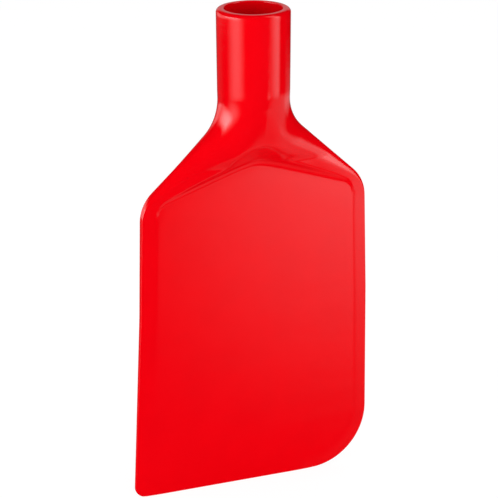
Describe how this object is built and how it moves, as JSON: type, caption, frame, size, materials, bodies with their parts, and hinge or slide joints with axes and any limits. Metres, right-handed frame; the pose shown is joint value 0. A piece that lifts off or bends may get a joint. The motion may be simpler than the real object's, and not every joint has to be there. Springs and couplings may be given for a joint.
{
  "type": "paddle scraper blade",
  "caption": "One-piece moulded paddle scraper blade with a hollow handle socket, sloping shoulders and a flat blade with one pointed and one rounded lower corner.",
  "frame": {"origin": "on the plane of the scraping edge, under the centre of the object's box; the handle socket's axis is 1.8 mm to the +X side of it", "axes": "+Z along the socket from the scraping edge to the rim, +X across the blade from the pointed lower corner to the rounded one, -Y out of the front face"},
  "size_m": [0.114, 0.032, 0.22],
  "materials": {
    "red_plastic": "glossy red moulded plastic"
  },
  "bodies": {
    "root": {"paddle_blade": "red_plastic"}
  },
  "joints": []
}
